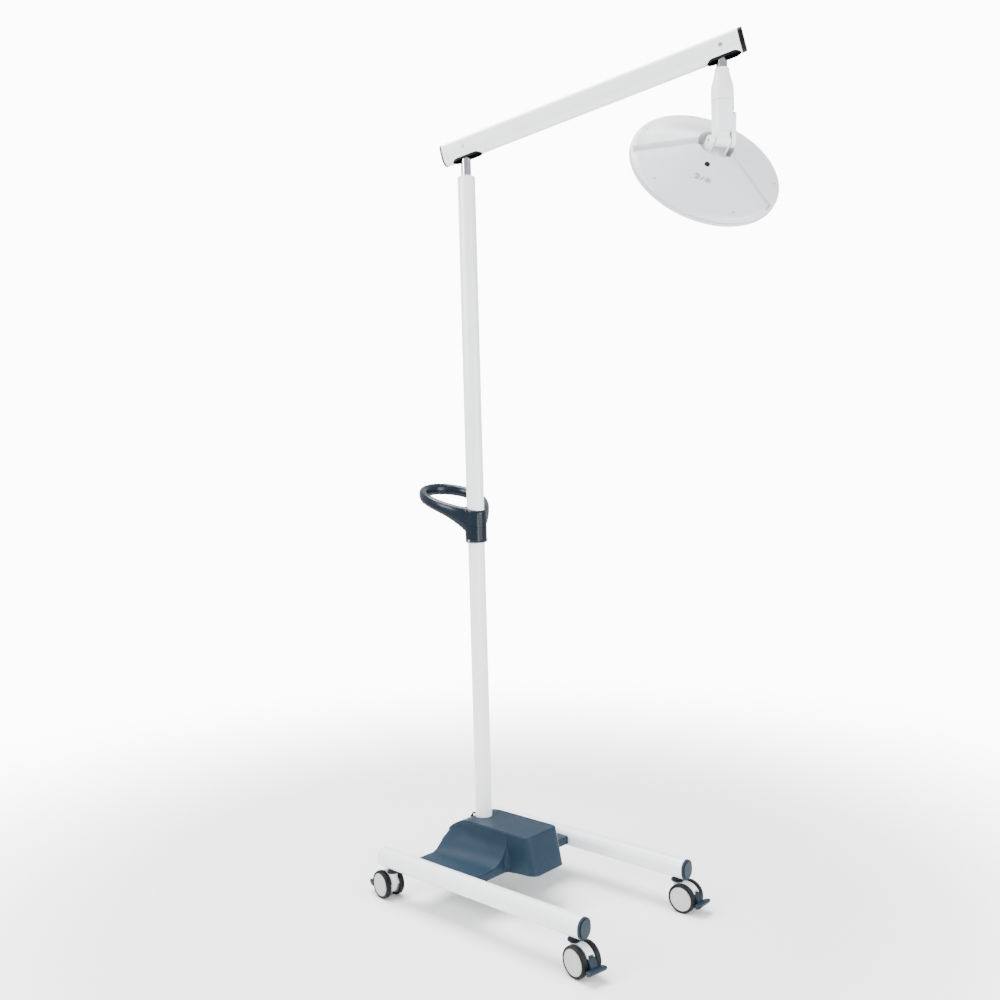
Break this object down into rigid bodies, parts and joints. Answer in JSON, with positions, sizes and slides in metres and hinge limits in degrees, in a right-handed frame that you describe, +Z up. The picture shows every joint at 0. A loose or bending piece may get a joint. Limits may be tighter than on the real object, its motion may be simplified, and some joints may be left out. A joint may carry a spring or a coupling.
{
  "type": "examination lamp",
  "caption": "Mobile examination lamp: round LED head on a level-keeping balanced arm, slim mast with push handle, castor base with moulded cover.",
  "frame": {"origin": "on the floor, on the axis of the mast", "axes": "+X along the legs to their front ends, +Y to the left leg, +Z up the mast"},
  "size_m": [0.8349, 0.6342, 1.9549],
  "materials": {
    "white_tube": "gloss powder coat",
    "navy_shell": "satin moulded",
    "navy_handle": "soft gloss moulded",
    "navy_cap": "satin moulded",
    "grey_cap": "satin moulded",
    "steel_raw": "zinc plated",
    "iron_weight": "rough cast",
    "supply_case": "folded sheet",
    "pan": "powder coat",
    "screw_steel": "bright zinc",
    "inlet_black": "moulded",
    "pin_brass": "plated",
    "lead_black": "satin jacket",
    "chrome_post": "polished",
    "castor_grey": "satin moulded",
    "castor_disc": "satin moulded",
    "tyre_black": "moulded tread",
    "castor_stem": "dark zinc",
    "pedal_navy": "satin moulded",
    "arm_black": "moulded",
    "white_plastic": "satin moulded",
    "head_white": "fine satin moulded",
    "lens_clear": "clear acrylic",
    "led_board": "white solder mask",
    "button_dark": "moulded"
  },
  "bodies": {
    "base": {"left_leg_tube": "white_tube", "right_leg_tube": "white_tube", "front_leg_caps": "navy_cap", "rear_leg_caps": "grey_cap", "cross_beam": "steel_raw", "mast_socket": "steel_raw", "chassis_plate": "steel_raw", "counterweight": "iron_weight", "power_supply": "supply_case", "base_cover": "navy_shell", "bottom_pan": "pan", "fixing_screws": "screw_steel", "mains_inlet": "inlet_black", "inlet_pins": "pin_brass", "foot_lead": "lead_black", "lead_glands": "inlet_black", "mast_lower": "white_tube", "mast_upper": "white_tube", "mast_spigot": "steel_raw", "mast_bush": "white_plastic", "handle_upper_shell": "navy_handle", "handle_lower_shell": "navy_handle", "castor_stems": "castor_stem"},
    "castor_front_left": {"castor_housing_front_left": "castor_grey"},
    "wheels_front_left": {"castor_tyres_front_left": "tyre_black", "castor_discs_front_left": "castor_disc"},
    "pedal_front_left": {"castor_pedal_front_left": "pedal_navy"},
    "castor_front_right": {"castor_housing_front_right": "castor_grey"},
    "wheels_front_right": {"castor_tyres_front_right": "tyre_black", "castor_discs_front_right": "castor_disc"},
    "pedal_front_right": {"castor_pedal_front_right": "pedal_navy"},
    "castor_rear_left": {"castor_housing_rear_left": "castor_grey"},
    "wheels_rear_left": {"castor_tyres_rear_left": "tyre_black", "castor_discs_rear_left": "castor_disc"},
    "pedal_rear_left": {"castor_pedal_rear_left": "pedal_navy"},
    "castor_rear_right": {"castor_housing_rear_right": "castor_grey"},
    "wheels_rear_right": {"castor_tyres_rear_right": "tyre_black", "castor_discs_rear_right": "castor_disc"},
    "pedal_rear_right": {"castor_pedal_rear_right": "pedal_navy"},
    "arm_post": {"arm_post": "chrome_post"},
    "arm": {"arm_tube": "white_tube", "arm_end_caps": "arm_black", "arm_slot_liners": "arm_black", "pivot_pins": "screw_steel", "friction_washers": "inlet_black"},
    "level_rod": {"level_rod": "steel_raw"},
    "drop": {"drop_rod": "chrome_post", "bell_collar": "white_plastic"},
    "swivel": {"swivel_body": "white_plastic", "yoke_cheek": "white_plastic"},
    "head": {"tilt_pin": "screw_steel", "head_cradle": "white_plastic", "head_back_cover": "head_white", "head_front_ring": "head_white", "lens_plate": "lens_clear", "led_board": "led_board", "led_lenses": "lens_clear", "rim_screws": "inlet_black", "grip": "white_plastic"},
    "button": {"power_button": "button_dark"}
  },
  "joints": [
    {"name": "castor_swivel_front_left", "type": "hinge", "parent": "base", "child": "castor_front_left", "pos_m": [0.426, 0.19, 0.06], "axis": [0, 0, 1], "continuous": true},
    {"name": "wheel_roll_front_left", "type": "hinge", "parent": "castor_front_left", "child": "wheels_front_left", "pos_m": [0.44799, 0.19077, 0.0325], "axis": [-0.0349, 0.9994, 0], "continuous": true},
    {"name": "brake_pedal_front_left", "type": "hinge", "parent": "castor_front_left", "child": "pedal_front_left", "pos_m": [0.47197, 0.1916, 0.0405], "axis": [-0.0349, 0.9994, 0], "range_deg": [0, 12]},
    {"name": "castor_swivel_front_right", "type": "hinge", "parent": "base", "child": "castor_front_right", "pos_m": [0.426, -0.19, 0.06], "axis": [0, 0, 1], "continuous": true},
    {"name": "wheel_roll_front_right", "type": "hinge", "parent": "castor_front_right", "child": "wheels_front_right", "pos_m": [0.44767, -0.19382, 0.0325], "axis": [0.1736, 0.9848, 0], "continuous": true},
    {"name": "brake_pedal_front_right", "type": "hinge", "parent": "castor_front_right", "child": "pedal_front_right", "pos_m": [0.4713, -0.19799, 0.0405], "axis": [0.1736, 0.9848, 0], "range_deg": [0, 12]},
    {"name": "castor_swivel_rear_left", "type": "hinge", "parent": "base", "child": "castor_rear_left", "pos_m": [-0.122, 0.19, 0.06], "axis": [0, 0, 1], "continuous": true},
    {"name": "wheel_roll_rear_left", "type": "hinge", "parent": "castor_rear_left", "child": "wheels_rear_left", "pos_m": [-0.14392, 0.18808, 0.0325], "axis": [0.0872, -0.9962, 0], "continuous": true},
    {"name": "brake_pedal_rear_left", "type": "hinge", "parent": "castor_rear_left", "child": "pedal_rear_left", "pos_m": [-0.16783, 0.18599, 0.0405], "axis": [0.0872, -0.9962, 0], "range_deg": [0, 12]},
    {"name": "castor_swivel_rear_right", "type": "hinge", "parent": "base", "child": "castor_rear_right", "pos_m": [-0.122, -0.19, 0.06], "axis": [0, 0, 1], "continuous": true},
    {"name": "wheel_roll_rear_right", "type": "hinge", "parent": "castor_rear_right", "child": "wheels_rear_right", "pos_m": [-0.14379, -0.18694, 0.0325], "axis": [-0.1392, -0.9903, 0], "continuous": true},
    {"name": "brake_pedal_rear_right", "type": "hinge", "parent": "castor_rear_right", "child": "pedal_rear_right", "pos_m": [-0.16755, -0.1836, 0.0405], "axis": [-0.1392, -0.9903, 0], "range_deg": [0, 12]},
    {"name": "arm_swivel", "type": "hinge", "parent": "base", "child": "arm_post", "pos_m": [0, 0, 1.7], "axis": [0, 0, 1], "range_deg": [-170, 170]},
    {"name": "arm_lift", "type": "hinge", "parent": "arm_post", "child": "arm", "pos_m": [0, 0, 1.787], "axis": [0.373, -0.9278, 0], "range_deg": [-42, 15]},
    {"name": "level_follow", "type": "hinge", "parent": "arm_post", "child": "level_rod", "pos_m": [0, 0, 1.8], "axis": [0.373, -0.9278, 0], "range_deg": [-42, 15]},
    {"name": "drop_level", "type": "hinge", "parent": "arm", "child": "drop", "pos_m": [0.56387, 0.22667, 1.91951], "axis": [0.373, -0.9278, 0], "range_deg": [-15, 42]},
    {"name": "head_swivel", "type": "hinge", "parent": "drop", "child": "swivel", "pos_m": [0.56387, 0.22667, 1.8015], "axis": [0, 0, 1], "range_deg": [-160, 160]},
    {"name": "head_tilt", "type": "hinge", "parent": "swivel", "child": "head", "pos_m": [0.56387, 0.22667, 1.71751], "axis": [0.5284, 0.849, 0], "range_deg": [-95, 6]},
    {"name": "power_press", "type": "slide", "parent": "head", "child": "button", "axis": [-0.6965, 0.6831, -0.2198], "range_m": [0, 0.001], "stiffness_N_per_m": 300}
  ],
  "couplings": [
    {"joint": "level_follow", "follows": "arm_lift", "ratio": 1},
    {"joint": "drop_level", "follows": "arm_lift", "ratio": -1}
  ]
}
